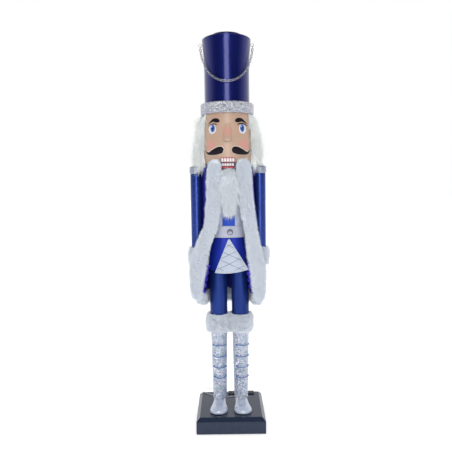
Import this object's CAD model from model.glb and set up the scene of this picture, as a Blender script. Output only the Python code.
"""Nutcracker figure: the visible pieces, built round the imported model. Geometry is in millimetres."""
import math

import bpy
import numpy as np
from mathutils import Matrix, Vector


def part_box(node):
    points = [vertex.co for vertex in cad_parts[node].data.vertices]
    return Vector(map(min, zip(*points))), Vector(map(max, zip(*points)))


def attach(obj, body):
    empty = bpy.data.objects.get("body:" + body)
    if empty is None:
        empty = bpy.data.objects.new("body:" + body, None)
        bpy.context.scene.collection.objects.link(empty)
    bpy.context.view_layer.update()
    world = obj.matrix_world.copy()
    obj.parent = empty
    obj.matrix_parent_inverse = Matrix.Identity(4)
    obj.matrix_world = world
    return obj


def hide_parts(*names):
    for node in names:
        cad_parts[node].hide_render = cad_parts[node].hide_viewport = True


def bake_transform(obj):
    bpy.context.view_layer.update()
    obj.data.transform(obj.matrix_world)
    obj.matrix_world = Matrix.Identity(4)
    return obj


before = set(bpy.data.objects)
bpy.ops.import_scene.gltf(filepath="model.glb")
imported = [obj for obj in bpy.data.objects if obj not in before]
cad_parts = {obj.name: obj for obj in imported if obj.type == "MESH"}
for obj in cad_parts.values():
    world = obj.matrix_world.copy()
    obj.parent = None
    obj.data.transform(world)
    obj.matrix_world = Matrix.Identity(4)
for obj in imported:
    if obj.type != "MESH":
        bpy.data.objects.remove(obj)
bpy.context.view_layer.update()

MM = 0.001
SIDES = (("left", -1), ("right", 1))

# ---- places shared with the CAD model ----
LEG_X = 25.8
ARM_X = 75.0
HEAD_LOW = 622.0
HEAD_HIGH = 733.0
HEAD_CHEEK_R = 58.2
HEAD_END_R = 54.9
SKIRT_HIGH = 451.4
SKIRT_LOW = 375.0
SKIRT_HIGH_R = 51.5
SKIRT_LOW_R = 57.5
ANKLE_R = 18.5
ANKLE_HIGH = 57.0
BOOT_TOP_R = 23.6
BOOT_TOP_HIGH = 262.0

# ---- camera and cord, in metres ----
CAMERA_PLACE = (-0.0061, -1.186, 0.567)
CAMERA_LENS = 39.8
CAMERA_TILT = -4.46
CAMERA_ROLL = -0.75


def add_camera():
    data = bpy.data.cameras.new("camera")
    data.lens = CAMERA_LENS
    data.sensor_width = 36.0
    camera = add_object("camera", data)
    pitch = Matrix.Rotation(math.radians(90 + CAMERA_TILT), 4, "X")
    roll = Matrix.Rotation(math.radians(CAMERA_ROLL), 4, "Z")
    camera.matrix_world = Matrix.Translation(CAMERA_PLACE) @ pitch @ roll
    bpy.context.scene.camera = camera


LEAD_ROUTE = [
    (0.031, 0.0545, 0.0398), (0.031, 0.047, 0.0398), (0.025, 0.0375, 0.0397), (0.014, 0.0405, 0.0396),
    (0.004, 0.0425, 0.0396), (-0.008, 0.035, 0.0389), (-0.022, 0.0345, 0.0388), (-0.036, 0.0405, 0.0388),
    (-0.047, 0.051, 0.039), (-0.059, 0.0585, 0.0396), (-0.069, 0.067, 0.040), (-0.071, 0.074, 0.043),
    (-0.062, 0.076, 0.046), (-0.050, 0.0735, 0.046), (-0.039, 0.067, 0.048), (-0.031, 0.060, 0.058),
    (-0.029, 0.054, 0.080), (-0.027, 0.051, 0.115), (-0.029, 0.0495, 0.160), (-0.0275, 0.051, 0.205),
    (-0.0285, 0.0545, 0.245), (-0.027, 0.0575, 0.281)]
LEAD_DIAMETER = 0.0012


def add_lead():
    """The light string's lead, one smooth curve through the route."""
    curve = bpy.data.curves.new("light_lead", "CURVE")
    curve.dimensions = "3D"
    curve.bevel_depth = LEAD_DIAMETER / 2
    curve.bevel_resolution = 3
    curve.resolution_u = 12
    spline = curve.splines.new("NURBS")
    spline.points.add(len(LEAD_ROUTE) - 1)
    for point, place in zip(spline.points, LEAD_ROUTE):
        point.co = (*place, 1.0)
    spline.order_u = 3
    spline.use_endpoint_u = True
    return add_object("light_lead", curve)


def curve_line(lead):
    """Points along the lead's own curve."""
    depth = lead.data.bevel_depth
    lead.data.bevel_depth = 0.0
    bpy.context.view_layer.update()
    graph = bpy.context.evaluated_depsgraph_get()
    mesh = bpy.data.meshes.new_from_object(lead.evaluated_get(graph))
    line = np.array([v.co[:] for v in mesh.vertices])
    bpy.data.meshes.remove(mesh)
    lead.data.bevel_depth = depth
    return line


# ---- meshes ----
def add_object(name, data):
    """An object for the data, in the scene."""
    thing = bpy.data.objects.new(name, data)
    bpy.context.scene.collection.objects.link(thing)
    return thing


def add_mesh(name, points, faces, smooth=True):
    """A mesh object from points in millimetres and a list of faces."""
    mesh = bpy.data.meshes.new(name)
    mesh.from_pydata((np.asarray(points, float) * MM).tolist(), [], faces)
    mesh.validate()
    if smooth:
        mesh.shade_smooth()
    return add_object(name, mesh)


def grid_faces(rows, columns, start=0, wrap=False, flip=False):
    """Quads over a grid of points, row by row."""
    faces = []
    last = columns if wrap else columns - 1
    for i in range(rows - 1):
        for j in range(last):
            a = start + i * columns + j
            b = start + i * columns + (j + 1) % columns
            quad = (a, b, b + columns, a + columns)
            faces.append(quad[::-1] if flip else quad)
    return faces


def grid_normals(grid):
    """Unit normals of a grid of points."""
    down = np.gradient(grid, axis=0)
    across = np.gradient(grid, axis=1)
    normal = np.cross(across, down)
    return normal / np.maximum(np.linalg.norm(normal, axis=2, keepdims=True), 1e-9)


def add_panel(name, grid, thickness):
    """A closed thin sheet: the grid is one face, the other lies behind it by the thickness."""
    rows, columns = grid.shape[:2]
    back = grid - grid_normals(grid) * thickness
    points = np.concatenate([grid.reshape(-1, 3), back.reshape(-1, 3)])
    offset = rows * columns
    faces = grid_faces(rows, columns)
    faces += grid_faces(rows, columns, offset, flip=True)
    border = list(range(columns))
    border += [i * columns + columns - 1 for i in range(1, rows)]
    border += [(rows - 1) * columns + j for j in range(columns - 2, -1, -1)]
    border += [i * columns for i in range(rows - 2, 0, -1)]
    for a, b in zip(border, border[1:] + border[:1]):
        faces.append((b, a, a + offset, b + offset))
    return add_mesh(name, points, faces)


def add_tube(name, rings):
    """A closed skin over a stack of rings with equally many points."""
    rings = np.asarray(rings)
    rows, columns = rings.shape[:2]
    faces = grid_faces(rows, columns, wrap=True)
    faces.append(tuple(range(columns))[::-1])
    faces.append(tuple((rows - 1) * columns + j for j in range(columns)))
    return add_mesh(name, rings.reshape(-1, 3), faces)


def full_turn(count):
    """Angles evenly round a circle."""
    return np.linspace(0, 2 * math.pi, count, endpoint=False)


def squared(value, power):
    """A cosine or sine raised to a power under one, which squares a circle's corners; the sign stays."""
    return math.copysign(abs(value) ** power, value)


def level_ring(x, y, height):
    """Points at one height."""
    return np.column_stack([x, y, np.full(len(x), height)])


def around(turns, reach, height):
    """Points round the upright axis; a turn of zero is straight ahead of the figure."""
    return np.stack(np.broadcast_arrays(reach * np.sin(turns), -reach * np.cos(turns), height), axis=-1)


def smooth_through(values, count):
    """A smooth curve of many rows through a few rows of numbers."""
    values = np.asarray(values, float)
    padded = np.concatenate([2 * values[:1] - values[1:2], values, 2 * values[-1:] - values[-2:-1]])
    places = np.linspace(0, len(values) - 1, count)
    index = np.minimum(places.astype(int), len(values) - 2)
    t = (places - index).reshape((-1,) + (1,) * (values.ndim - 1))
    p0, p1, p2, p3 = (padded[index + k] for k in range(4))
    slope_a = (p2 - p0) / 2
    slope_b = (p3 - p1) / 2
    return ((2 * t**3 - 3 * t**2 + 1) * p1 + (t**3 - 2 * t**2 + t) * slope_a
            + (-2 * t**3 + 3 * t**2) * p2 + (t**3 - t**2) * slope_b)


def tube_along(line, radius, sides=10):
    """Rings of a round tube that follows a line of points; radius may vary along it."""
    line = np.asarray(line, float)
    radius = np.broadcast_to(radius, len(line))
    along = np.gradient(line, axis=0)
    along /= np.linalg.norm(along, axis=1, keepdims=True)
    side = np.cross(along, (0.31, 0.17, 0.93))
    side /= np.linalg.norm(side, axis=1, keepdims=True)
    other = np.cross(along, side)
    angles = full_turn(sides)
    ring = np.cos(angles)[None, :, None] * side[:, None] + np.sin(angles)[None, :, None] * other[:, None]
    return line[:, None] + ring * radius[:, None, None]


def ellipsoid_rings(centre, half, rows=14, columns=20):
    """Rings of an ellipsoid, its poles up and down."""
    rings = []
    angles = full_turn(columns)
    for turn in np.linspace(-math.pi / 2 + 0.08, math.pi / 2 - 0.08, rows):
        x = centre[0] + half[0] * math.cos(turn) * np.cos(angles)
        y = centre[1] + half[1] * math.cos(turn) * np.sin(angles)
        rings.append(level_ring(x, y, centre[2] + half[2] * math.sin(turn)))
    return np.array(rings)


def join(name, parts):
    """One piece out of several meshes."""
    bpy.ops.object.select_all(action="DESELECT")
    for part in parts:
        part.select_set(True)
    bpy.context.view_layer.objects.active = parts[0]
    bpy.ops.object.join()
    parts[0].name = name
    return parts[0]


# ---- fur ----
def swirl(points, size, seed):
    """A smooth random vector at each point, changing over the given size."""
    rng = np.random.default_rng(seed)
    total = np.zeros_like(points)
    for octave in range(5):
        waves = rng.normal(size=(3, 3)) * (1 + 0.6 * octave) / size
        total += np.sin(points @ waves.T + rng.random(3) * 2 * math.pi)
    return total / 2.2


def scatter(grid, count, rng):
    """Random points spread evenly over a grid surface, with the outward normals there."""
    a, b, c, d = grid[:-1, :-1], grid[1:, :-1], grid[1:, 1:], grid[:-1, 1:]
    cross = np.cross(d - b, c - a)
    area = np.linalg.norm(cross, axis=2)
    pick = rng.choice(area.size, count, p=area.ravel() / area.sum())
    normals = cross.reshape(-1, 3)[pick] / area.ravel()[pick][:, None]
    s, t = rng.random((2, count, 1))
    corners = [corner.reshape(-1, 3)[pick] for corner in (a, b, c, d)]
    points = (corners[0] * (1 - s) * (1 - t) + corners[1] * s * (1 - t)
              + corners[2] * s * t + corners[3] * (1 - s) * t)
    return points, normals


def add_strands(name, roots, heading, bend, lengths, thickness, curl, rng, rings):
    """Closed tapering hairs, three sided, each from its root along its heading."""
    count = len(roots)
    heading = heading / np.linalg.norm(heading, axis=1, keepdims=True)
    side = np.cross(heading, rng.normal(size=(count, 3)))
    side /= np.linalg.norm(side, axis=1, keepdims=True)
    other = np.cross(heading, side)
    phase = rng.random(count) * 2 * math.pi
    columns = []
    for k in range(rings + 1):
        t = k / rings
        centre = roots + heading * (lengths * t)[:, None] + bend * (lengths * t * t)[:, None]
        sway = curl * t * np.sin(phase + 5.0 * t)
        centre = centre + side * sway[:, None]
        if k == rings:
            columns.append(centre)
            break
        width = thickness / 2 * (1 - 0.65 * t**1.5)
        for corner in range(3):
            turn = 2 * math.pi * corner / 3
            columns.append(centre + (side * math.cos(turn) + other * math.sin(turn)) * width)
    per_hair = len(columns)
    points = np.stack(columns, axis=1).reshape(-1, 3)
    pattern = [(2, 1, 0)]
    for ring in range(rings - 1):
        low = 3 * ring
        for corner in range(3):
            after = (corner + 1) % 3
            pattern.append((low + corner, low + after, low + 3 + after, low + 3 + corner))
    low = 3 * (rings - 1)
    for corner in range(3):
        pattern.append((low + corner, low + (corner + 1) % 3, per_hair - 1))
    sizes = np.tile([len(face) for face in pattern], count)
    loops = np.concatenate([np.array(face) for face in pattern])
    loops = (loops[None] + per_hair * np.arange(count)[:, None]).ravel()
    mesh = bpy.data.meshes.new(name)
    mesh.vertices.add(len(points))
    mesh.vertices.foreach_set("co", (points * MM).astype(np.float32).ravel())
    mesh.loops.add(len(loops))
    mesh.loops.foreach_set("vertex_index", loops.astype(np.int32))
    mesh.polygons.add(len(sizes))
    starts = np.concatenate([[0], np.cumsum(sizes)[:-1]])
    mesh.polygons.foreach_set("loop_start", starts.astype(np.int32))
    mesh.update(calc_edges=True)
    mesh.shade_smooth()
    return add_object(name, mesh)


def add_pile(name, grid, count, length, comb, lift, seed, thickness=0.8, clump=7.0, curl=0.6, rings=2,
             stray=0.14):
    """Fur over a surface: comb is where it is brushed to, lift how far it stands up."""
    rng = np.random.default_rng(seed)
    roots, normals = scatter(grid, count, rng)
    wander = swirl(roots, clump, seed + 1)
    loose = rng.normal(size=roots.shape)
    heading = normals * lift + np.asarray(comb) * (1 - lift) + stray * wander + 0.2 * loose
    bend = np.asarray(comb) * 0.25 + stray * wander
    lengths = length * (0.7 + 0.45 * rng.random(count))
    return add_strands(name, roots - normals * 0.4, heading, bend, lengths, thickness, curl, rng, rings)


# ---- materials ----
def new_material(name, colour, roughness, metallic=0.0, **sockets):
    """A Principled material; sockets are further shader values, such as Coat_Weight."""
    material = bpy.data.materials.new(name)
    material.use_nodes = True
    shader = material.node_tree.nodes["Principled BSDF"]
    shader.inputs["Base Color"].default_value = (*colour, 1.0)
    shader.inputs["Roughness"].default_value = roughness
    shader.inputs["Metallic"].default_value = metallic
    for socket, value in sockets.items():
        shader.inputs[socket.replace("_", " ")].default_value = value
    return material


def add_node(material, kind, values=None, **settings):
    """A shader node of a kind, such as TexNoise, with some of its settings and socket values."""
    node = material.node_tree.nodes.new("ShaderNode" + kind)
    for setting, value in settings.items():
        setattr(node, setting, value)
    for socket, value in (values or {}).items():
        node.inputs[socket].default_value = value
    return node


def wire(material, source, target):
    material.node_tree.links.new(source, target)


def add_after(material, source, kind, socket, values=None, **settings):
    """A node that takes the source into one of its sockets."""
    node = add_node(material, kind, values, **settings)
    wire(material, source, node.inputs[socket])
    return node


def shader_of(material):
    return material.node_tree.nodes["Principled BSDF"]


def object_place(material):
    """Texture coordinates fixed to the object, in metres."""
    return add_node(material, "TexCoord").outputs["Object"]


def tint(material, factor, low, high):
    """The base colour between two colours, by a factor."""
    ramp = add_after(material, factor, "Mix", 0, {6: (*low, 1.0), 7: (*high, 1.0)}, data_type="RGBA")
    wire(material, ramp.outputs[2], shader_of(material).inputs["Base Color"])
    return ramp


def noise(material, scale, detail=4.0, stretch=None):
    """Noise over the object; stretch scales its axes."""
    place = object_place(material)
    if stretch:
        place = add_after(material, place, "Mapping", "Vector", {"Scale": stretch}).outputs["Vector"]
    texture = add_after(material, place, "TexNoise", "Vector", {"Scale": scale, "Detail": detail})
    return texture.outputs["Fac"]


def bump(material, height, strength, distance):
    """Fine relief from a height."""
    relief = add_after(material, height, "Bump", "Height", {"Strength": strength, "Distance": distance})
    wire(material, relief.outputs["Normal"], shader_of(material).inputs["Normal"])


def vary_roughness(material, factor, low, high):
    span = add_after(material, factor, "MapRange", "Value", {"To Min": low, "To Max": high})
    wire(material, span.outputs["Result"], shader_of(material).inputs["Roughness"])


def flakes(material, size, tilt, low, high, tints=0.0):
    """Glitter: cells of the given size, each with its own tilt and shade, some with a coloured glint."""
    cells = add_after(material, object_place(material), "TexVoronoi", "Vector", {"Scale": 1.0 / size})
    random_colour = cells.outputs["Color"]
    centred = add_after(material, random_colour, "VectorMath", 0, {1: (0.5, 0.5, 0.5)},
                        operation="SUBTRACT")
    scaled = add_after(material, centred.outputs[0], "VectorMath", 0, {"Scale": tilt}, operation="SCALE")
    tilted = add_after(material, scaled.outputs[0], "VectorMath", 1, operation="ADD")
    wire(material, add_node(material, "NewGeometry").outputs["Normal"], tilted.inputs[0])
    unit = add_after(material, tilted.outputs[0], "VectorMath", 0, operation="NORMALIZE")
    wire(material, unit.outputs[0], shader_of(material).inputs["Normal"])
    split = add_after(material, random_colour, "SeparateColor", "Color")
    shade = tint(material, split.outputs["Red"], low, high)
    if tints:
        glint = add_after(material, shade.outputs[2], "Mix", 6, {"Factor": tints}, data_type="RGBA")
        wire(material, random_colour, glint.inputs[7])
        wire(material, glint.outputs[2], shader_of(material).inputs["Base Color"])


def plain_material(name, colour, roughness, metallic=0.0, **sockets):
    """Plain paint, slightly uneven so that it isn't one flat colour."""
    material = new_material(name, colour, roughness, metallic, **sockets)
    tint(material, noise(material, 250.0), [0.82 * v for v in colour], colour)
    return material


def fur_material(name, low, high):
    material = new_material(name, high, 0.85, Sheen_Weight=0.25, Sheen_Roughness=0.5)
    tint(material, noise(material, 140.0, stretch=(1, 1, 0.35)), low, high)
    return material


def paint_material(name, low, high, roughness=0.28, coat=0.6, metallic=0.0):
    """Lacquer with a metal fleck: faint streaks down the turning and a fine pebbled surface."""
    material = new_material(name, high, roughness, metallic, Coat_Weight=coat, Coat_Roughness=0.14,
                            Specular_IOR_Level=0.1)
    tint(material, noise(material, 60.0, stretch=(1, 1, 0.15)), low, high)
    bump(material, noise(material, 260.0, 5.0, stretch=(1, 1, 0.5)), 0.8, 0.0008)
    return material


def satin_material(name, low, high, roughness=0.34, metallic=0.35):
    """Satin: fine threads across the cloth, with a gloss that follows its folds."""
    material = new_material(name, high, roughness, metallic, Anisotropic=0.4, Specular_IOR_Level=0.3)
    tint(material, noise(material, 45.0, 6.0, stretch=(1, 1, 0.4)), low, high)
    weave = add_after(material, object_place(material), "TexWave", "Vector",
                      {"Scale": 900.0, "Distortion": 1.5}, bands_direction="Z")
    bump(material, weave.outputs["Fac"], 0.25, 0.0003)
    return material


def metal_material(name, colour, low, high):
    material = new_material(name, colour, low, 1.0)
    vary_roughness(material, noise(material, 300.0), low, high)
    return material


FLESH = (0.35, 0.235, 0.17)
BLUSH = (0.5, 0.17, 0.17)
# middle, reach and strength of each pink spot
BLUSH_SPOTS = [((-38, -44, 661), 22, 0.6), ((38, -44, 661), 22, 0.6), ((0, -60, 691), 17, 0.5)]


def face_material():
    """Flesh paint with soft pink on the cheeks and along the nose."""
    material = new_material("face_paint", FLESH, 0.38, Coat_Weight=0.25, Coat_Roughness=0.2)
    place = object_place(material)
    pink = None
    for spot, reach, strength in BLUSH_SPOTS:
        away = add_after(material, place, "VectorMath", 0, {1: [v * MM for v in spot]},
                         operation="DISTANCE")
        fade = add_after(material, away.outputs["Value"], "MapRange", "Value",
                         {"From Min": reach * MM, "From Max": 0.0, "To Max": strength},
                         interpolation_type="SMOOTHERSTEP").outputs["Result"]
        if pink is None:
            pink = fade
            continue
        most = add_after(material, pink, "Math", 0, operation="MAXIMUM")
        wire(material, fade, most.inputs[1])
        pink = most.outputs[0]
    tint(material, pink, FLESH, BLUSH)
    bump(material, noise(material, 500.0, 3.0), 0.08, 0.0004)
    return material


FUR = fur_material("fur", (0.69, 0.75, 0.86), (0.87, 0.91, 0.95))
BEARD = fur_material("beard_hair", (0.66, 0.72, 0.77), (0.86, 0.9, 0.94))
HAIR = fur_material("hair", (0.76, 0.8, 0.8), (0.96, 0.98, 0.97))
HAT_PAINT = paint_material("hat_paint", (0.0024, 0.005, 0.065), (0.009, 0.015, 0.16), 0.24, 0.7, 0.6)
ARM_PAINT = paint_material("arm_paint", (0.014, 0.03, 0.16), (0.034, 0.068, 0.32), 0.27, 0.15, 0.75)
LEG_PAINT = paint_material("leg_paint", (0.004, 0.016, 0.1), (0.012, 0.04, 0.24), 0.34, 0.15, 0.5)
BODY_PAINT = paint_material("body_paint", (0.006, 0.008, 0.08), (0.012, 0.016, 0.14), 0.4, 0.2)
ROBE_SATIN = satin_material("robe_satin", (0.004, 0.005, 0.1), (0.012, 0.014, 0.3), 0.36, 0.5)
LINING_LAME = satin_material("lining_lame", (0.008, 0.006, 0.14), (0.03, 0.02, 0.42), 0.26, 0.6)
SKIRT_SATIN = satin_material("skirt_satin", (0.005, 0.014, 0.2), (0.013, 0.034, 0.4), 0.26, 0.4)
VEST_SATIN = satin_material("vest_satin", (0.008, 0.036, 0.3), (0.018, 0.075, 0.5), 0.55, 0.1)
LAPEL_SATIN = satin_material("lapel_satin", (0.28, 0.32, 0.42), (0.38, 0.43, 0.53), 0.5, 0.0)
APRON_SATIN = satin_material("apron_satin", (0.31, 0.35, 0.43), (0.42, 0.46, 0.54), 0.42, 0.1)
BELT_SILVER = paint_material("belt_silver", (0.31, 0.33, 0.42), (0.42, 0.44, 0.52), 0.45, 0.2, 0.2)
CHAIN_SILVER = metal_material("chain_silver", (0.5, 0.51, 0.54), 0.1, 0.22)
LEAD_SILVER = plain_material("lead_silver", (0.72, 0.74, 0.78), 0.35, 0.4)
STEEL = metal_material("steel", (0.6, 0.6, 0.6), 0.3, 0.5)
STONE = plain_material("stone", (0.34, 0.35, 0.42), 0.1, 0.7, Coat_Weight=0.6)
THREAD = plain_material("thread", (0.04, 0.045, 0.07), 0.8)
BLACK_PAINT = plain_material("black_paint", (0.005, 0.003, 0.007), 0.5, Specular_IOR_Level=0.2)
EYE_WHITE = plain_material("eye_white", (0.52, 0.55, 0.62), 0.3, Coat_Weight=0.6)
EYE_BLUE = plain_material("eye_blue", (0.016, 0.08, 0.33), 0.25, Coat_Weight=0.6)
EYE_LIGHT = plain_material("eye_light", (0.25, 0.45, 0.8), 0.25, Coat_Weight=0.6)
PALE_LINE = plain_material("pale_line", (0.62, 0.5, 0.42), 0.35, Coat_Weight=0.3)
TEETH = plain_material("teeth", (0.62, 0.62, 0.64), 0.25, Coat_Weight=0.5)
RED_PAINT = plain_material("red_paint", (0.4, 0.025, 0.035), 0.35, Coat_Weight=0.4)
LACE_BLUE = plain_material("lace_blue", (0.02, 0.1, 0.36), 0.45, Coat_Weight=0.2)
BEAD_CLEAR = plain_material("bead_clear", (0.95, 0.93, 0.85), 0.08, Transmission_Weight=0.7)
FACE = face_material()


def glitter_material(name, size, tilt, low, high, tints):
    """Loose glitter set in silver paint."""
    material = new_material(name, high, 0.3, 0.6)
    flakes(material, size, tilt, low, high, tints)
    return material


BOOT_GLITTER = glitter_material("boot_glitter", 0.0015, 1.3, (0.2, 0.27, 0.38), (0.72, 0.8, 0.92), 0.22)
BAND_GLITTER = glitter_material("band_glitter", 0.0015, 1.3, (0.2, 0.24, 0.3), (0.66, 0.67, 0.76), 0.2)
EPAULETTE_SILVER = glitter_material("epaulette_silver", 0.0009, 0.5,
                                    (0.22, 0.25, 0.33), (0.34, 0.37, 0.47), 0.04)


def pearl_material():
    """Pearl paint on the shoes: a soft metallic ground under a clear coat."""
    material = new_material("shoe_pearl", (0.5, 0.56, 0.68), 0.34, 0.4,
                            Coat_Weight=0.6, Coat_Roughness=0.14)
    flakes(material, 0.0007, 0.18, (0.38, 0.45, 0.58), (0.56, 0.6, 0.72))
    return material


def lacquer_material():
    """Deep black lacquer, its gloss broken by faint dust."""
    material = new_material("base_lacquer", (0.008, 0.008, 0.014), 0.14, Specular_IOR_Level=0.42,
                            Specular_Tint=(0.72, 0.8, 1.0, 1.0))
    dust = noise(material, 350.0, 6.0)
    vary_roughness(material, dust, 0.09, 0.2)
    tint(material, noise(material, 90.0), (0.01, 0.015, 0.032), (0.018, 0.026, 0.048))
    return material


def wood_material():
    material = new_material("bare_wood", (0.6, 0.42, 0.26), 0.6)
    tint(material, noise(material, 200.0, 5.0, stretch=(1, 1, 0.08)), (0.42, 0.27, 0.14), (0.66, 0.47, 0.3))
    return material


def felt_material():
    material = new_material("felt", (0.03, 0.03, 0.035), 0.95, Sheen_Weight=0.5)
    tint(material, noise(material, 700.0, 6.0), (0.015, 0.015, 0.02), (0.05, 0.05, 0.055))
    bump(material, noise(material, 1500.0, 4.0), 0.5, 0.0005)
    return material


def plastic_material():
    material = new_material("case_plastic", (0.015, 0.015, 0.018), 0.4)
    bump(material, noise(material, 1200.0, 3.0), 0.2, 0.0003)
    tint(material, noise(material, 120.0), (0.01, 0.01, 0.012), (0.022, 0.022, 0.026))
    return material


def paint_cad():
    """Materials on the CAD pieces that show as they are."""
    looks = [
        (lacquer_material(), "base_block"),
        (felt_material(), "base_felt"),
        (BODY_PAINT, "torso", "jaw_lever", "arm_dowels"),
        (BELT_SILVER, "belt", "buckle_bezel"),
        (ARM_PAINT, "arm_left", "arm_right"),
        (LEG_PAINT, "leg_left", "leg_right"),
        (BOOT_GLITTER, "boot_left", "boot_right"),
        (FACE, "head", "hand_left", "hand_right"),
        (HAT_PAINT, "hat_body", "hat_cap"),
        (BAND_GLITTER, "hat_band"),
        (EPAULETTE_SILVER, "epaulette_left", "epaulette_right"),
        (CHAIN_SILVER, "hat_chain", "chain_eyes"),
        (plastic_material(), "battery_case", "battery_cover", "switch_slider"),
        (STEEL, "base_screws", "jaw_pin", "coin_cells"),
        (wood_material(), "leg_dowels", "neck_dowels", "hat_dowel")]
    for material, *names in looks:
        for name in names:
            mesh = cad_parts[name].data
            mesh.materials.clear()
            mesh.materials.append(material)


def dress(piece, material, body, slot, *nodes):
    """Give a new piece its material, its body (None if it bends), and the CAD nodes it stands for."""
    piece.data.materials.clear()
    piece.data.materials.append(material)
    if body:
        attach(piece, body)
    if nodes:
        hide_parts(*nodes)
    return piece


# ---- robe trims, hem and cuffs ----
# height, x of the inner and of the outer edge, y of the inner and of the outer edge
TRIM_LEFT = [
    (308, -64, -85, -50, -39), (322, -61, -90, -51, -38), (344, -59, -92, -52, -37),
    (390, -50, -92, -58, -38), (429, -43, -79, -62, -42), (456, -34, -68, -64, -44),
    (479, -25, -56, -66, -46), (505, -19, -53, -66, -47), (538, -15.5, -50, -66, -47),
    (582, -14.5, -49, -66, -48), (629, -15.0, -44, -66, -51)]
TRIM_RIGHT = [
    (302, 59, 80, -50, -39), (316, 55, 84, -51, -38), (332, 52, 85, -52, -37), (379, 46, 86, -58, -38),
    (402, 42, 80, -60, -40), (447, 38, 70, -63, -43), (479, 35, 64, -65, -45), (509, 27, 60, -66, -46),
    (560, 22, 55, -66, -47), (600, 18.5, 53, -66, -48), (629, 16.5, 50, -66, -49)]


def trim_rings(stations):
    """The padded strip under a trim's fur, rounded at both ends."""
    rows = smooth_through(stations, 90)
    angles = np.linspace(0, 2 * math.pi, 26)
    rings = []
    for height, x_in, x_out, y_in, y_out in rows:
        from_end = min(height - rows[0][0], rows[-1][0] - height)
        round_off = math.sqrt(1 - max(0.0, 1 - from_end / 14.0) ** 2 * 0.96)
        across = np.array([x_out - x_in, y_out - y_in])
        half = np.linalg.norm(across) / 2 - 3.5
        across = across / np.linalg.norm(across)
        outward = np.array([across[1], -across[0]]) * np.sign(x_out)
        centre = np.array([(x_in + x_out) / 2, (y_in + y_out) / 2 + 3.5])
        ring = (centre + np.cos(angles)[:, None] * across * half * round_off
                + np.sin(angles)[:, None] * outward * 4.4 * round_off)
        rings.append(np.column_stack([ring, np.full(len(angles), height)]))
    return np.array(rings)


def outward_grid(rings):
    """The rings as a grid whose normals point away from its middle."""
    normals = np.cross(rings[1:, :-1] - rings[:-1, :-1], rings[:-1, 1:] - rings[:-1, :-1])
    away = rings[:-1, :-1] - rings[:-1, :-1].mean(axis=1, keepdims=True)
    return rings if (normals * away).sum() < 0 else rings[:, ::-1]


def add_fur(part, ending, rings, node, **pile):
    """Fur on a padded backing; the two pieces stand for one CAD node, and pile says what add_pile needs."""
    backing = add_tube(f"{part}_backing{ending}", rings[:, :-1])
    fur = add_pile(f"{part}_pile{ending}", outward_grid(rings), **pile)
    return [dress(piece, FUR, "root", "fur_white", node) for piece in (backing, fur)]


def add_trim(side, sign, stations, seed):
    comb = (sign * 0.12, -0.1, -0.75)
    return add_fur("trim", f"_{side}", trim_rings(stations), f"fur_trim_{side}", count=26000, length=7.5,
                   comb=comb, lift=0.55, seed=seed, thickness=0.62, stray=0.07)


# x, y and the height of the roll's middle: it rises to the front corners
HEM_LINE = [
    (-77, -33, 313), (-67, -28, 311), (-62, -10, 306), (-61, 12, 302), (-62, 33, 300), (-54, 45, 299),
    (-42, 55, 298), (-22, 62, 298), (0, 65, 298), (22, 62, 298), (42, 55, 298), (54, 45, 299),
    (62, 33, 300), (61, 12, 301), (61, -8, 303), (65, -23, 306), (74, -28, 308)]
HEM_HALF = 14.0


def hem_rings():
    line = smooth_through(HEM_LINE, 130)
    along = np.gradient(line[:, :2], axis=0)
    along /= np.linalg.norm(along, axis=1, keepdims=True)
    outward = np.stack([-along[:, 1], along[:, 0]], axis=1)
    angles = np.linspace(0, 2 * math.pi, 22)
    rings = []
    for place, side in zip(line, outward):
        flat = place[:2] + np.cos(angles)[:, None] * side * 4.2
        rings.append(np.column_stack([flat, place[2] + np.sin(angles) * HEM_HALF]))
    return np.array(rings)


def add_hem():
    return add_fur("hem", "", hem_rings(), "fur_hem", count=15000, length=7.5, comb=(0, 0, -0.7), lift=0.6,
                   seed=31, thickness=0.65)


def cuff_rings(x, low, high, radius, bulge, limit_x):
    """A soft fur ring round a limb; at limit_x it presses flat against its neighbour."""
    angles = np.linspace(0, 2 * math.pi, 60)
    rings = []
    for t in np.linspace(0, 1, 16):
        reach = radius - bulge * (abs(2 * t - 1) ** 3)
        flat_x = x + reach * np.cos(angles)
        flat_x = np.maximum(flat_x, limit_x) if x > 0 else np.minimum(flat_x, limit_x)
        rings.append(level_ring(flat_x, reach * np.sin(angles), low + (high - low) * t))
    return np.array(rings)


def add_cuffs():
    for (side, sign), seed in zip(SIDES, (41, 51)):
        boot = cuff_rings(sign * LEG_X, low=224, high=264, radius=27.0, bulge=4.0, limit_x=sign * 0.4)
        add_fur("boot_cuff", f"_{side}", boot, f"boot_fur_{side}", count=9500, length=7.5,
                comb=(0, 0, -0.1), lift=0.72, seed=seed, thickness=0.65)
        sleeve = cuff_rings(sign * ARM_X, low=384, high=424, radius=18.0, bulge=3.0, limit_x=sign * 65.0)
        add_fur("sleeve_cuff", f"_{side}", sleeve, f"sleeve_fur_{side}", count=6500, length=7.0,
                comb=(0, 0, -0.15), lift=0.75, seed=seed + 3, thickness=0.65)


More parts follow.
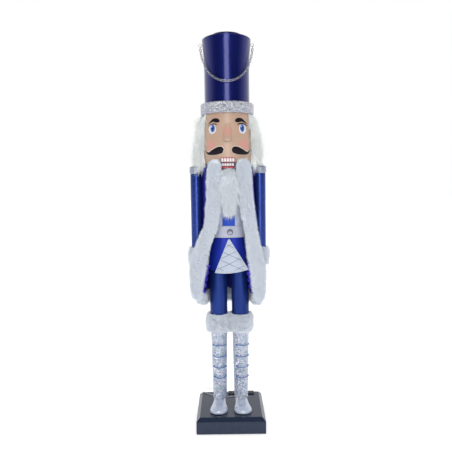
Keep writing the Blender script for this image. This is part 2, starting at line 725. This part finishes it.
# ---- robe ----
# up to the belt: the cloth's line in plan at each height
ROBE_LEFT = {312: [(-87, -27), (-78, -32), (-69, -33), (-63, -25), (-60.2, -12), (-63.0, 12)],
             425: [(-80, -31), (-71, -36), (-64, -36), (-60.6, -27), (-60.4, -12), (-63.4, 12)],
             452: [(-40, -51), (-46, -46), (-50, -41), (-54.5, -29), (-60.6, -12), (-63.4, 12)]}
ROBE_RIGHT = {312: [(63.0, 12), (60.2, -12), (62, -20), (67, -27), (74, -27), (80, -24)],
              425: [(63.4, 12), (60.4, -12), (60.6, -24), (62, -31), (67, -31), (73, -28)],
              452: [(63.4, 12), (60.6, -12), (54.5, -27), (50, -38), (46, -43), (41, -48)]}
ROBE_BACK = {312: [(-62, 33), (-42, 56), (0, 66), (42, 56), (62, 33)],
             425: [(-56, 32), (-37, 48), (0, 57), (37, 48), (56, 32)],
             452: [(-53, 31), (-35, 45), (0, 56), (35, 45), (53, 31)]}
# above the belt: height, and the angles from the front where the cloth starts on each side
ROBE_FRONT = {480: (35, 48), 510: (29, 37), 560: (25, 33), 612: (25, 28)}
ROBE_DEEP = 55.4
ROBE_WIDE = 60.6
BEHIND_ARM = (63.4, 12.0)
ROBE_LOW = 310.0
COLLAR_HIGH = 612.0
COLLAR_BEHIND = 588.0
COLLAR_DIP = 30


def robe_section(height):
    """The robe's line in plan at one of its key heights."""
    if height in ROBE_LEFT:
        return ROBE_LEFT[height] + ROBE_BACK[height] + ROBE_RIGHT[height]
    left, right = ROBE_FRONT[height]
    turns = [-left - (80 - left) * step / 4 for step in range(5)]
    turns += [-101, -128, -154, 180, 154, 128, 101]
    turns += [80 - (80 - right) * step / 4 for step in range(5)]
    line = [(ROBE_WIDE * math.sin(math.radians(a)), -ROBE_DEEP * math.cos(math.radians(a))) for a in turns]
    line[5] = (-BEHIND_ARM[0], BEHIND_ARM[1])
    line[11] = BEHIND_ARM
    return line


def robe_grid(rows=110, columns=260):
    """The whole robe as one sheet, hem to collar, with folds that grow towards the hem."""
    heights = sorted([*ROBE_LEFT, *ROBE_FRONT])
    levels = np.array([smooth_through(robe_section(height), columns) for height in heights])
    place = np.linspace(0, 1, columns)
    # the collar dips under each arm dowel and is lower behind the neck
    from_middle = np.abs(place - 0.5)
    top = np.where(from_middle < 0.2, COLLAR_BEHIND, COLLAR_HIGH)
    top = top - COLLAR_DIP * np.exp(-(np.abs(from_middle - 0.22) / 0.028) ** 2)
    up = np.linspace(0, 1, rows)[:, None]
    z = ROBE_LOW + (top[None] - ROBE_LOW) * up
    x = np.empty_like(z)
    y = np.empty_like(z)
    for j in range(columns):
        x[:, j] = np.interp(z[:, j], heights, levels[:, j, 0])
        y[:, j] = np.interp(z[:, j], heights, levels[:, j, 1])
    grid = np.stack([x, y, z], axis=2)
    behind = np.exp(-((place - 0.5) / 0.17) ** 4)[None]
    depth = 0.35 + (3.4 * behind + 0.25) * (1 - up) ** 1.2
    folds = (np.sin(place * 62 + 0.8 * np.sin(up * 4)) + 0.45 * np.sin(place * 113 + 1.3 + 2 * up)
             + 0.25 * np.sin(place * 190 - 3 * up))
    return grid + grid_normals(grid) * (depth * folds * 0.6)[:, :, None]


def add_robe():
    piece = add_panel("robe_cloth", robe_grid(), 0.7)
    dress(piece, ROBE_SATIN, "root", "satin_blue", "robe_back", "robe_left", "robe_right")


def add_ruffle(edge, side, stations, low, high, seed):
    """The lame cloth that peeps out in a ruffle along one edge of a trim."""
    outer = edge == "outer"
    rows = smooth_through(stations, 170)
    rows = rows[(rows[:, 0] > low) & (rows[:, 0] < high)]
    height = rows[:, 0]
    edge_x = rows[:, 2] if outer else rows[:, 1]
    edge_y = rows[:, 4] if outer else rows[:, 3]
    away = np.sign(rows[:, 2]) * (1 if outer else -1)
    reach, wave = (6.4, 1.1) if outer else (9.6, 2.4)
    ripple = np.sin(height * 0.42 + seed) + 0.6 * np.sin(height * 0.9 + 2 * seed)
    fade = np.minimum(1.0, np.minimum(height - low, high - height) / 12)
    grid = []
    for t in np.linspace(0, 1, 8):
        x = edge_x + away * (-3.5 + (reach * t + wave * t * ripple) * fade)
        y = edge_y + 6.0 + 1.6 * t * np.cos(height * 0.5 + seed) + 4.0 * t
        grid.append(np.stack([x, y, height], axis=1))
    piece = add_panel(f"ruffle_{edge}_{side}", np.array(grid), 0.6)
    return dress(piece, LINING_LAME, "root", "satin_blue", f"robe_{side}")


# ---- coat, vest, lapels and apron ----
def skirt_radius(height):
    fall = (SKIRT_HIGH - height) / (SKIRT_HIGH - SKIRT_LOW)
    return SKIRT_HIGH_R + (SKIRT_LOW_R - SKIRT_HIGH_R) * fall


def add_skirt():
    """A stiff glossy skirt with shallow flutes towards its hem and a turned edge."""
    angles = np.linspace(0, 2 * math.pi, 241)
    grid = []
    for height in np.linspace(SKIRT_HIGH, SKIRT_LOW, 40):
        fall = (SKIRT_HIGH - height) / (SKIRT_HIGH - SKIRT_LOW)
        flute = 0.7 * fall**1.5 * np.sin(9 * angles + 0.7)
        hem = 0.5 * math.exp(-((height - SKIRT_LOW - 1.2) / 1.4) ** 2)
        reach = skirt_radius(height) - 0.9 * fall + flute + hem - 0.4
        grid.append(level_ring(reach * np.cos(angles), reach * np.sin(angles), height))
    piece = add_panel("skirt_cloth", np.array(grid)[::-1], 1.0)
    dress(piece, SKIRT_SATIN, "root", "skirt_blue", "coat_skirt")


def wrapped_panel(name, low, high, start, end, radius, thickness, puff=0.0, seed=0, columns=40, rows=70):
    """A strip of cloth wrapped on the body between two angles from the front."""
    turns = np.radians(np.linspace(start, end, columns))
    heights = np.linspace(low, high, rows)[:, None]
    edge = 1 - np.abs(np.linspace(-1, 1, columns)) ** 4
    crease = np.sin(heights * 0.11 + 2.2 * np.sin(turns * 6) + seed) * 0.25
    reach = radius + puff * edge[None] + crease * edge[None]
    return add_panel(name, around(turns[None], reach, heights), thickness)


VEST_LOW = 477.5
VEST_HIGH = 566


def add_vest_and_lapels():
    vest = wrapped_panel("vest_cloth", VEST_LOW, VEST_HIGH, -17, 17, radius=49.2, puff=0.5, seed=1,
                         thickness=0.9)
    dress(vest, VEST_SATIN, "root", "vest_satin", "vest_panel")
    for side, start, end in (("left", -45, -16.8), ("right", 16.8, 45)):
        lapel = wrapped_panel(f"lapel_cloth_{side}", VEST_LOW, VEST_HIGH, start, end, radius=49.4, puff=1.0,
                              seed=4, thickness=0.9, columns=30)
        dress(lapel, LAPEL_SATIN, "root", "lapel_white", f"lapel_{side}")


APRON_TOP = 449.5
APRON_LEFT_END = (-33.0, 371.0)
APRON_RIGHT_END = (45.0, 377.0)
APRON_LOW = 371.0
QUILT_SLOPE = 0.47
QUILT_PITCH = 21.0


def apron_place(u, v):
    """A point of the apron from its place across, u, and down, v, with its quilting and border."""
    left = np.array([-1.0, APRON_TOP]) * (1 - v) + np.array(APRON_LEFT_END) * v
    right = np.array([1.0, APRON_TOP]) * (1 - v) + np.array(APRON_RIGHT_END) * v
    x, z = left * (1 - u) + right * u
    z -= 3.0 * v * 4 * u * (1 - u)
    to_edge = min(u, 1 - u) * (right[0] - left[0])
    to_hem = (1 - v) * (APRON_TOP - APRON_LOW)
    quilt = 1.0
    for slope in (-QUILT_SLOPE, QUILT_SLOPE):
        quilt = min(quilt, abs(math.sin(math.pi * (z + slope * x - APRON_LOW) / QUILT_PITCH)) ** 0.5)
    rim = max(math.exp(-(to_edge / 1.3) ** 2), math.exp(-(to_hem / 1.3) ** 2))
    flare = 9.0 * max(0.0, u - 0.72) ** 1.3 * max(0.0, v - 0.6) * 8
    reach = skirt_radius(z) + 1.2 + 1.3 * quilt * (1 - rim) + 1.5 * rim + flare
    return x, -math.sqrt(max(reach**2 - x**2, 1.0)), z


def quilt_lines():
    """The stitch lines that lie on the apron, as lists of points."""
    lines = []
    spread = (np.array(APRON_RIGHT_END) - APRON_LEFT_END)[0]
    for slope in (-QUILT_SLOPE, QUILT_SLOPE):
        for number in range(-1, 5):
            line = []
            for x in np.arange(APRON_LEFT_END[0], APRON_RIGHT_END[0], 1.0):
                z = APRON_LOW + QUILT_PITCH * number - slope * x
                v = (APRON_TOP - z) / (APRON_TOP - APRON_LOW - 3.0)
                u = (x + 1 - (APRON_LEFT_END[0] + 1) * v) / max(spread * v, 1.0)
                if 0.05 < v < 0.97 and 0.03 < u < 0.97:
                    line.append((x, z))
            if len(line) > 5:
                lines.append(np.array(line))
    return lines


def add_apron():
    """A quilted triangle with a corded border; its right corner turns out."""
    steps_down = np.linspace(0.015, 1, 110)
    steps_across = np.linspace(0, 1, 110)
    grid = np.array([[apron_place(u, v) for u in steps_across] for v in steps_down])
    piece = add_panel("apron_cloth", grid, 1.0)
    dress(piece, APRON_SATIN, "root", "apron_white", "apron")
    flat = grid.reshape(-1, 3)
    stitches = []
    for line in quilt_lines():
        near = [flat[np.argmin((flat[:, 0] - x) ** 2 + (flat[:, 2] - z) ** 2)] for x, z in line]
        depth = np.convolve(np.pad(np.array(near)[:, 1], 3, "edge"), np.full(7, 1 / 7), "valid")
        spine = np.column_stack([line[:, 0], depth - 0.95, line[:, 1]])
        stitches.append(add_tube("stitch", tube_along(spine, 0.45, 6)))
    thread = dress(join("apron_stitching", stitches), THREAD, "root", "apron_white", "apron")


# ---- boots, shoes and lacing ----
LACE_HEIGHTS = (191.0, 164.0, 138.0, 113.0)
LACE_TURN = 42


def boot_radius(height):
    return ANKLE_R + (BOOT_TOP_R - ANKLE_R) * (height - ANKLE_HIGH) / (BOOT_TOP_HIGH - ANKLE_HIGH)


def add_lacing(side, sign, facing):
    """Four sagging cords across the boot, each tied off in a bead at both ends."""
    parts = []
    for number, height in enumerate(LACE_HEIGHTS):
        turns = np.radians(np.linspace(facing - LACE_TURN, facing + LACE_TURN, 40))
        sag = 1.0 + 0.7 * number
        drop = sag * np.cos(np.linspace(-math.pi / 2, math.pi / 2, 40))
        line = around(turns, boot_radius(height) + 0.55, height - drop)
        line[:, 0] += sign * LEG_X
        parts.append(add_tube("lace", tube_along(line, 0.85)))
        for end in (0, -1):
            parts.append(add_tube("knot", ellipsoid_rings(line[end] + (0, 0, 0.6), (1.9, 1.9, 2.2))))
    piece = join(f"lacing_{side}", parts)
    dress(piece, LACE_BLUE, "root", "lace_blue", f"boot_lacing_{side}")


SHOE_HEEL_Y = 19.5
SHOE_LONG = 81.0
SHOE_SOLE = 42.15
SHOE_HEEL_HALF = 15.5
SHOE_TOE_WIDER = 5.8
INSTEP_TALL = 15.0
INSTEP_STEP = 4.6
TOE_OUT = 3.4
# places along the shoe, from 0 at the heel to 1 at the toe
HEEL_END = 0.16
SEAM_AT = 0.57
TOE_START = 0.74


def add_shoe(side, sign):
    """A round-toed shoe: cross-sections from heel to toe, stepping down from the instep to the toe cap."""
    rings = []
    angles = full_turn(48)
    for step in np.linspace(0.03, 0.985, 64):
        t = (1 - math.cos(math.pi * step)) / 2
        toe = max((t - TOE_START) / (1 - TOE_START), 0.0)
        heel = max((HEEL_END - t) / HEEL_END, 0.0)
        full = math.sqrt(max(1 - toe**2, 0.0) * max(1 - heel**2, 0.0))
        half = (SHOE_HEEL_HALF + SHOE_TOE_WIDER / (1 + math.exp(-(t - 0.55) * 12))) * full
        instep = 1 / (1 + math.exp(-(t - 0.5) * 30))
        seam = math.exp(-((t - SEAM_AT) / 0.02) ** 2)
        top = INSTEP_TALL - INSTEP_STEP * instep + seam
        middle = sign * (LEG_X + TOE_OUT * t)
        ring = []
        for angle in angles:
            c, s = math.cos(angle), math.sin(angle)
            wide = half * squared(c, 0.75)
            if s > 0:
                rise = top * full**0.7 * s**0.85
                wide = wide * (1 - 0.22 * s**2)
            else:
                rise = 3.8 * full**0.3 * s * min(1.0, abs(s) * 2.2) / max(abs(s), 0.01)
                wide = wide + math.copysign(0.8 * full * min(1.0, abs(s) * 3), c)
            ring.append((middle + wide, SHOE_HEEL_Y - SHOE_LONG * t, SHOE_SOLE + rise))
        rings.append(ring)
    piece = add_tube(f"shoe_upper_{side}", rings[::-1])
    dress(piece, pearl_material(), "root", "shoe_pearl", f"shoe_{side}")


# ---- head ----
def head_radius(height):
    """The head's radius, widest at the cheeks."""
    middle = (HEAD_LOW + HEAD_HIGH) / 2
    return HEAD_CHEEK_R - (HEAD_CHEEK_R - HEAD_END_R) * ((height - middle) / (HEAD_HIGH - middle)) ** 2


def on_face(x, z, lift):
    """A point on the face's surface, standing proud of it by the lift."""
    reach = head_radius(z) + lift
    return (x, -math.sqrt(max(reach**2 - x**2, 1.0)), z)


def add_stroke(name, line, widths, material, lift, rows=40):
    """A painted stroke on the face: a line of points and its half width along the way."""
    centre = smooth_through(line, rows)
    half = smooth_through(np.asarray(widths)[:, None], rows)[:, 0]
    along = np.gradient(centre, axis=0)
    along /= np.linalg.norm(along, axis=1, keepdims=True)
    across = np.stack([-along[:, 1], along[:, 0]], axis=1)
    grid = np.empty((rows, 13, 3))
    for i in range(rows):
        for j, s in enumerate(np.linspace(-1, 1, 13)):
            x, z = centre[i] + across[i] * max(half[i], 0.05) * s
            grid[i, j] = on_face(x, z, 0.12 + lift * (1 - s * s) * min(1.0, half[i] / 1.5))
    if line[0][0] > line[-1][0]:
        grid = grid[:, ::-1]
    piece = add_panel(name, grid, 0.5)
    return dress(piece, material, "root", "face_peach")


def add_disc(name, x, z, half_x, half_z, material, lift):
    """A painted oval on the face."""
    turns = np.linspace(-math.pi / 2 + 0.03, math.pi / 2 - 0.03, 25)
    across = np.linspace(-1, 1, 17)
    grid = np.empty((25, 17, 3))
    for i, turn in enumerate(turns):
        for j, s in enumerate(across):
            rise = lift * math.cos(turn) * (1 - s * s)
            grid[i, j] = on_face(x + half_x * math.cos(turn) * s, z + half_z * math.sin(turn), 0.12 + rise)
    return dress(add_panel(name, grid, 0.5), material, "root", "face_peach")


# name, x, z, half width, half height, material and lift, for the figure's left
FACE_DISCS = [
    ("eye_white", 34.2, 697.2, 8.2, 10.4, EYE_WHITE, 0.3), ("iris", 33.6, 698.4, 6.0, 8.8, EYE_BLUE, 0.6),
    ("pupil", 33.4, 698.6, 2.6, 4.2, BLACK_PAINT, 0.85)]
# name, points, half widths along it, material and lift, for the figure's left
FACE_STROKES = [
    ("lid", [(22.0, 705.8), (28, 708.4), (36, 708.4), (45, 704.6)], (0.4, 1.1, 1.1, 0.3), BLACK_PAINT, 0.4),
    ("brow", [(17.5, 713.2), (20.5, 714.6), (26.0, 716.4), (33.0, 716.4), (43.5, 709.4)],
     (0.8, 3.9, 4.8, 3.2, 0.3), BLACK_PAINT, 0.5),
    ("moustache_edge", [(8.0, 651.0), (12.5, 650.8), (21, 649.4), (33, 646), (44.5, 644.6), (55, 656.5)],
     (2.0, 7.8, 9.4, 7.6, 3.6, 0.5), PALE_LINE, 0.25),
    ("moustache", [(9.0, 651.0), (12.5, 650.6), (21, 649), (33, 645.6), (44.5, 644.0), (54, 655)],
     (1.2, 6.8, 8.5, 6.6, 2.7, 0.2), BLACK_PAINT, 1.1)]


def add_face():
    for side, sign in SIDES:
        for name, x, z, half_x, half_z, material, lift in FACE_DISCS:
            add_disc(f"{name}_{side}", sign * x, z, half_x, half_z, material, lift)
        add_disc(f"glint_{side}", sign * 33.4 - 2.3, 702.4, 1.5, 2.2, EYE_LIGHT, 1.1)
        for name, line, widths, material, lift in FACE_STROKES:
            add_stroke(f"{name}_{side}", [(sign * x, z) for x, z in line], widths, material, lift)


NOSE_HIGH = 712.0
NOSE_LONG = 44.0
NOSE_OUT = 11.5
TIP_FROM = 0.86


def add_nose():
    """A long wedge that widens and stands out towards its rounded tip."""
    rings = []
    angles = full_turn(40)
    for t in np.linspace(0, 1, 36):
        z = NOSE_HIGH - NOSE_LONG * t
        half = 8.8 + 1.2 * t
        out = NOSE_OUT * t**1.3
        if t > TIP_FROM:
            close = math.sqrt(max(1 - ((t - TIP_FROM) / (1 - TIP_FROM)) ** 2 * 0.94, 0.02))
            half *= 0.55 + 0.45 * close
            out *= 0.5 + 0.5 * close
        base = head_radius(z) - 4.0
        ring = []
        for angle in angles:
            c, s = math.cos(angle), math.sin(angle)
            x = half * squared(c, 0.8)
            y = -(base + (out + 3.9) * max(s, 0) ** 0.75) if s > 0 else -(base + 2 * s)
            ring.append((x, y, z))
        rings.append(ring)
    piece = add_tube("nose_wedge", rings)
    dress(piece, FACE, "root", "face_peach", "nose")


# low, high, radius, half turn, depth and notch of each tooth in a row
UPPER_TEETH = (623.4, 632.4, 57.0, 2.5, 1.5, 1.8)
LOWER_TEETH = (613.9, 620.3, 56.6, 2.2, 1.3, 0)
TOOTH_STEP = 6.2
LOWER_STEP = 0.93 * TOOTH_STEP
LIP_TURN = 14.2
LIP_R = 57.6
LIP_HIGH = 610.8


def tooth_rings(turn, low, high, radius, half_turn, depth, notch):
    """One rounded tooth on the arc of the mouth; notch narrows its gum end."""
    rings = []
    for t in np.linspace(0, 1, 9):
        z = low + (high - low) * t
        shrink = 1 - 0.3 * max(0.0, (t - 0.5) * 2) ** 2 * notch
        ends = math.sqrt(max(1 - (2 * t - 1) ** 6, 0.03))
        ring = []
        for angle in full_turn(16):
            c, s = math.cos(angle), math.sin(angle)
            a = math.radians(turn + half_turn * shrink * squared(c, 0.6))
            reach = radius + depth * ends * squared(s, 0.6)
            ring.append((reach * math.sin(a), -reach * math.cos(a), z))
        rings.append(ring)
    return rings[::-1]


def add_mouth():
    upper = []
    lower = []
    for number in range(-2, 3):
        upper.append(add_tube("tooth", tooth_rings(TOOTH_STEP * number, *UPPER_TEETH)))
        lower.append(add_tube("tooth", tooth_rings(LOWER_STEP * number, *LOWER_TEETH)))
    dress(join("teeth_upper", upper), TEETH, "root", "teeth_white", "upper_teeth")
    dress(join("teeth_lower", lower), TEETH, "jaw", "teeth_white", "lower_teeth")
    gum = wrapped_panel("gum_upper", 622.6, 633.2, -15.6, 15.6, radius=56.9, thickness=1.6,
                        columns=24, rows=8)
    dress(gum, RED_PAINT, "root", "lip_red")
    gum = wrapped_panel("gum_lower", 613.4, 619.6, -LIP_TURN, LIP_TURN, radius=56.4, thickness=0.8,
                        columns=24, rows=8)
    dress(gum, RED_PAINT, "jaw", "lip_red")
    turns = np.radians(np.linspace(-LIP_TURN, LIP_TURN, 40))
    line = around(turns, LIP_R, LIP_HIGH - 0.4 * np.cos(turns * 6))
    lip = add_tube("lip_lower", tube_along(line, 2.2 - 0.7 * np.abs(np.linspace(-1, 1, 40)) ** 4, 14))
    dress(lip, RED_PAINT, "jaw", "lip_red", "lower_lip")


# the wig from its low edge up: its radius at each height, and the angle from the front where it starts
HAIR_PROFILE = [(620, 77), (632, 79.5), (650, 78.5), (670, 76.5), (695, 72), (715, 67), (733, 60.5)]
HAIR_EDGE = [(620, 70), (640, 74), (665, 72), (690, 68), (715, 63), (733, 61)]
HAIR_HIGH = 733
HAIR_LONG = 114
LEVER_GAP = 36


def add_hair():
    """A wig round the head from temple to temple, with a gap behind for the lever."""
    profile = np.array(HAIR_PROFILE)
    edge = np.array(HAIR_EDGE)
    grid = []
    inner = []
    for drop in np.linspace(0, 1, 46):
        level = HAIR_HIGH - HAIR_LONG * drop
        start = math.radians(np.interp(level, edge[:, 0], edge[:, 1]))
        turns = np.linspace(start, 2 * math.pi - start, 150)
        above_lever = np.exp(-((turns - math.pi) / 0.42) ** 6)
        z = HAIR_HIGH - (HAIR_LONG - LEVER_GAP * above_lever) * drop
        from_edge = np.minimum(turns - start, 2 * math.pi - start - turns)
        full = 1 - 0.9 * np.exp(-from_edge / 0.16)
        outer = np.interp(z, profile[:, 0], profile[:, 1]) - 5.0
        lumps = 1.2 * np.sin(turns * 11 + z * 0.05) + 0.8 * np.sin(turns * 23 - z * 0.11)
        core = np.array([head_radius(max(height, HEAD_LOW)) for height in z]) + 0.5
        reach = core + (outer - core) * full + lumps * full
        behind = np.clip(-np.cos(turns), 0, 1) ** 2
        reach = reach - 9.0 * behind * (reach > 66)
        grid.append(around(turns, reach, z))
        inner.append(around(turns, core, z))
    grid = np.array(grid)
    inner = np.array(inner)
    rings = np.concatenate([grid, inner[:, ::-1]], axis=1)
    backing = add_tube("wig_backing", rings)
    dress(backing, HAIR, "root", "hair_white", "hair")
    keep = grid[::-1]
    middle = grid.shape[1] // 2
    same = {"comb": (0, 0, -1.0), "thickness": 0.75, "rings": 3, "stray": 0.2}
    for side, half, seed in (("left", keep[:, middle:], 61), ("right", keep[:, :middle + 1], 66)):
        pile = add_pile(f"wig_pile_{side}", half, 11000, 22.0, lift=0.28, seed=seed, clump=13.0, curl=1.6,
                        **same)
        dress(pile, HAIR, "root", "hair_white", "hair")
    crown = add_pile("wig_crown_pile", keep[-10:], 5000, 13.0, lift=0.35, seed=64, clump=10.0, curl=1.2,
                     **same)
    dress(crown, HAIR, "root", "hair_white", "hair")


# height, half width, half depth and y of the beard's middle
BEARD_ROWS = [(607, 5, 0.6, -57.5), (602, 13, 2.6, -60), (580, 17, 4.5, -62), (555, 15, 4.5, -62),
              (533, 10, 4.0, -61.5), (518, 5, 3.0, -60.5)]


def add_beard():
    """A long wavy beard from under the lip; its top moves with the jaw and its tip lies on the chest."""
    rings = []
    angles = np.linspace(0, 2 * math.pi, 30)
    for z, wide, deep, y in smooth_through(BEARD_ROWS, 40):
        rings.append(level_ring(1.0 + wide * np.cos(angles), y + deep * np.sin(angles), z))
    rings = np.array(rings)
    pelt = outward_grid(rings)
    pieces = [
        add_tube("beard_backing", rings[:, :-1]),
        add_pile("beard_pile", pelt, 8000, 22.0, comb=(0.1, 0.1, -1.0), lift=0.15, seed=71, thickness=0.7,
                 curl=1.6, rings=4),
        add_pile("beard_top_pile", pelt[:9], 2600, 12.0, comb=(0, -0.1, -1.0), lift=0.4, seed=76,
                 thickness=0.65, curl=1.0, rings=3, stray=0.12)]
    for piece in pieces:
        dress(piece, BEARD, None, "hair_white", "beard")
        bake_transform(piece)


# ---- belt stone and beads ----
# for each ring of corners from the girdle inwards: share of the radius, how far out, how many, and offset
STONE_RINGS = ((1.0, 0.0, 16, 0), (1.0, 0.6, 16, 0), (0.8, 2.4, 8, 0.5), (0.45, 3.7, 8, 0))
STONE_DEPTH = 4.5


def add_stone():
    """A round stone cut in facets that meet in a low point."""
    low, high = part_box("buckle_stone")
    middle = (low + high) / 2 / MM
    radius = (high.x - low.x) / 2 / MM
    back = high.y / MM
    points = []
    for reach, out, count, offset in STONE_RINGS:
        for k in range(count):
            turn = 2 * math.pi * (k + offset) / count
            points.append((middle.x + radius * reach * math.cos(turn), back - out,
                           middle.z + radius * reach * math.sin(turn)))
    points.append((middle.x, back - STONE_DEPTH, middle.z))
    apex = len(points) - 1
    faces = [tuple(range(16))]
    for k in range(16):
        faces.append((k, (k + 1) % 16, 16 + (k + 1) % 16, 16 + k))
    for k in range(8):
        kite, after = 32 + k, 32 + (k + 1) % 8
        star, star_after = 40 + k, 40 + (k + 1) % 8
        first, second, third = (16 + (2 * k + step) % 16 for step in range(3))
        faces.append((first, second, kite))
        faces.append((second, third, kite))
        faces.append((third, after, star_after, kite))
        faces.append((star, kite, star_after))
        faces.append((star, star_after, apex))
    piece = add_mesh("belt_stone", points, faces, smooth=False)
    dress(piece, STONE, "root", "stone", "buckle_stone")


BEAD_PLACES = (0.098, 0.30, 0.53, 0.72)
BEAD_HALF = 2.5
BEAD_R = 1.5


def add_beads(line):
    """Clear drops round the lead, well apart along it."""
    parts = []
    total = np.concatenate([[0], np.cumsum(np.linalg.norm(np.diff(line, axis=0), axis=1))])
    for share in BEAD_PLACES:
        here = [np.interp(share * total[-1], total, line[:, k]) for k in range(3)]
        near = [np.interp(share * total[-1] + 0.0005, total, line[:, k]) for k in range(3)]
        along = (np.array(near) - here) / np.linalg.norm(np.array(near) - here)
        steps = np.linspace(-BEAD_HALF, BEAD_HALF, 13)
        spine = np.array(here)[None] / MM + along[None] * steps[:, None]
        girth = BEAD_R * np.sqrt(np.maximum(1 - (steps / 2.6) ** 2, 0.05))
        parts.append(add_tube("bead", tube_along(spine, girth, 16)))
    piece = join("lead_beads", parts)
    return dress(piece, BEAD_CLEAR, "root", "bead_clear", "led_beads")


# ---- stage ----
REFLECTED_FRONT = 0.03
REFLECTED_ABOVE = 0.3
LIGHT_TARGET = Vector((0, 0, 0.5))


def add_world():
    """White all round to the eye; in reflections, white behind and beside and dim above and in front."""
    world = bpy.data.worlds.new("studio")
    bpy.context.scene.world = world
    world.use_nodes = True
    background = world.node_tree.nodes["Background"]
    place = add_node(world, "TexCoord").outputs["Generated"]
    split = add_after(world, place, "SeparateXYZ", 0)
    behind = add_after(world, split.outputs["Y"], "MapRange", "Value",
                       {"From Min": -0.6, "From Max": 0.3, "To Min": REFLECTED_FRONT, "To Max": 1.0},
                       interpolation_type="SMOOTHSTEP")
    above = add_after(world, split.outputs["Z"], "MapRange", "Value",
                      {"From Min": 0.5, "From Max": 0.9, "To Min": 1.0, "To Max": REFLECTED_ABOVE})
    both = add_after(world, behind.outputs[0], "Math", 0, operation="MULTIPLY")
    wire(world, above.outputs[0], both.inputs[1])
    reflected = add_node(world, "LightPath").outputs["Is Glossy Ray"]
    seen = add_after(world, reflected, "Mix", 0, {2: 1.0})
    wire(world, both.outputs[0], seen.inputs[3])
    wire(world, seen.outputs[0], background.inputs["Strength"])
    background.inputs["Color"].default_value = (1.0, 1.0, 1.0, 1.0)


def add_light(name, place, size, power):
    """A soft rectangular light turned to the figure."""
    data = bpy.data.lights.new(name, "AREA")
    data.shape = "RECTANGLE"
    data.size, data.size_y = size
    data.energy = power
    light = add_object(name, data)
    light.location = place
    light.rotation_euler = (LIGHT_TARGET - light.location).to_track_quat("-Z", "Y").to_euler()
    return light


def add_stage():
    """A pale floor under soft lights; the wide ones light the front but leave no reflection."""
    bpy.ops.mesh.primitive_plane_add(size=40, location=(0, 0, 0))
    floor = bpy.context.object
    floor.name = "floor"
    pale = new_material("floor_paint", (0.9, 0.9, 0.9), 0.9, Emission_Strength=0.3,
                        Emission_Color=(1.0, 1.0, 1.0, 1.0))
    floor.data.materials.append(pale)
    add_world()
    add_light("strip", (0.0, -2.2, 1.0), (0.8, 1.7), 19.0)
    for side, sign in SIDES:
        add_light(side, (sign * 1.3, -1.6, 1.0), (0.9, 1.4), 3.0).visible_glossy = False


# ---- build ----
add_camera()
lead = add_lead()
add_stage()
paint_cad()
beads = add_beads(curve_line(lead))
dress(lead, LEAD_SILVER, "root", "lead_silver", "lead_wire")
on_robe = add_trim("left", -1, TRIM_LEFT, 11) + add_trim("right", 1, TRIM_RIGHT, 21) + add_hem()
for side, stations, seed in (("left", TRIM_LEFT, 1.0), ("right", TRIM_RIGHT, 2.3)):
    on_robe.append(add_ruffle("outer", side, stations, 470, 628, seed))
    on_robe.append(add_ruffle("inner", side, stations, 314, 400, seed + 2))
add_robe()
add_cuffs()
add_skirt()
add_vest_and_lapels()
add_apron()
for side, sign, facing in (("left", -1, 3.0), ("right", 1, 12.0)):
    add_lacing(side, sign, facing)
    add_shoe(side, sign)
add_face()
add_nose()
add_mouth()
add_hair()
add_beard()
add_stone()
bpy.context.scene.view_settings.view_transform = "Standard"
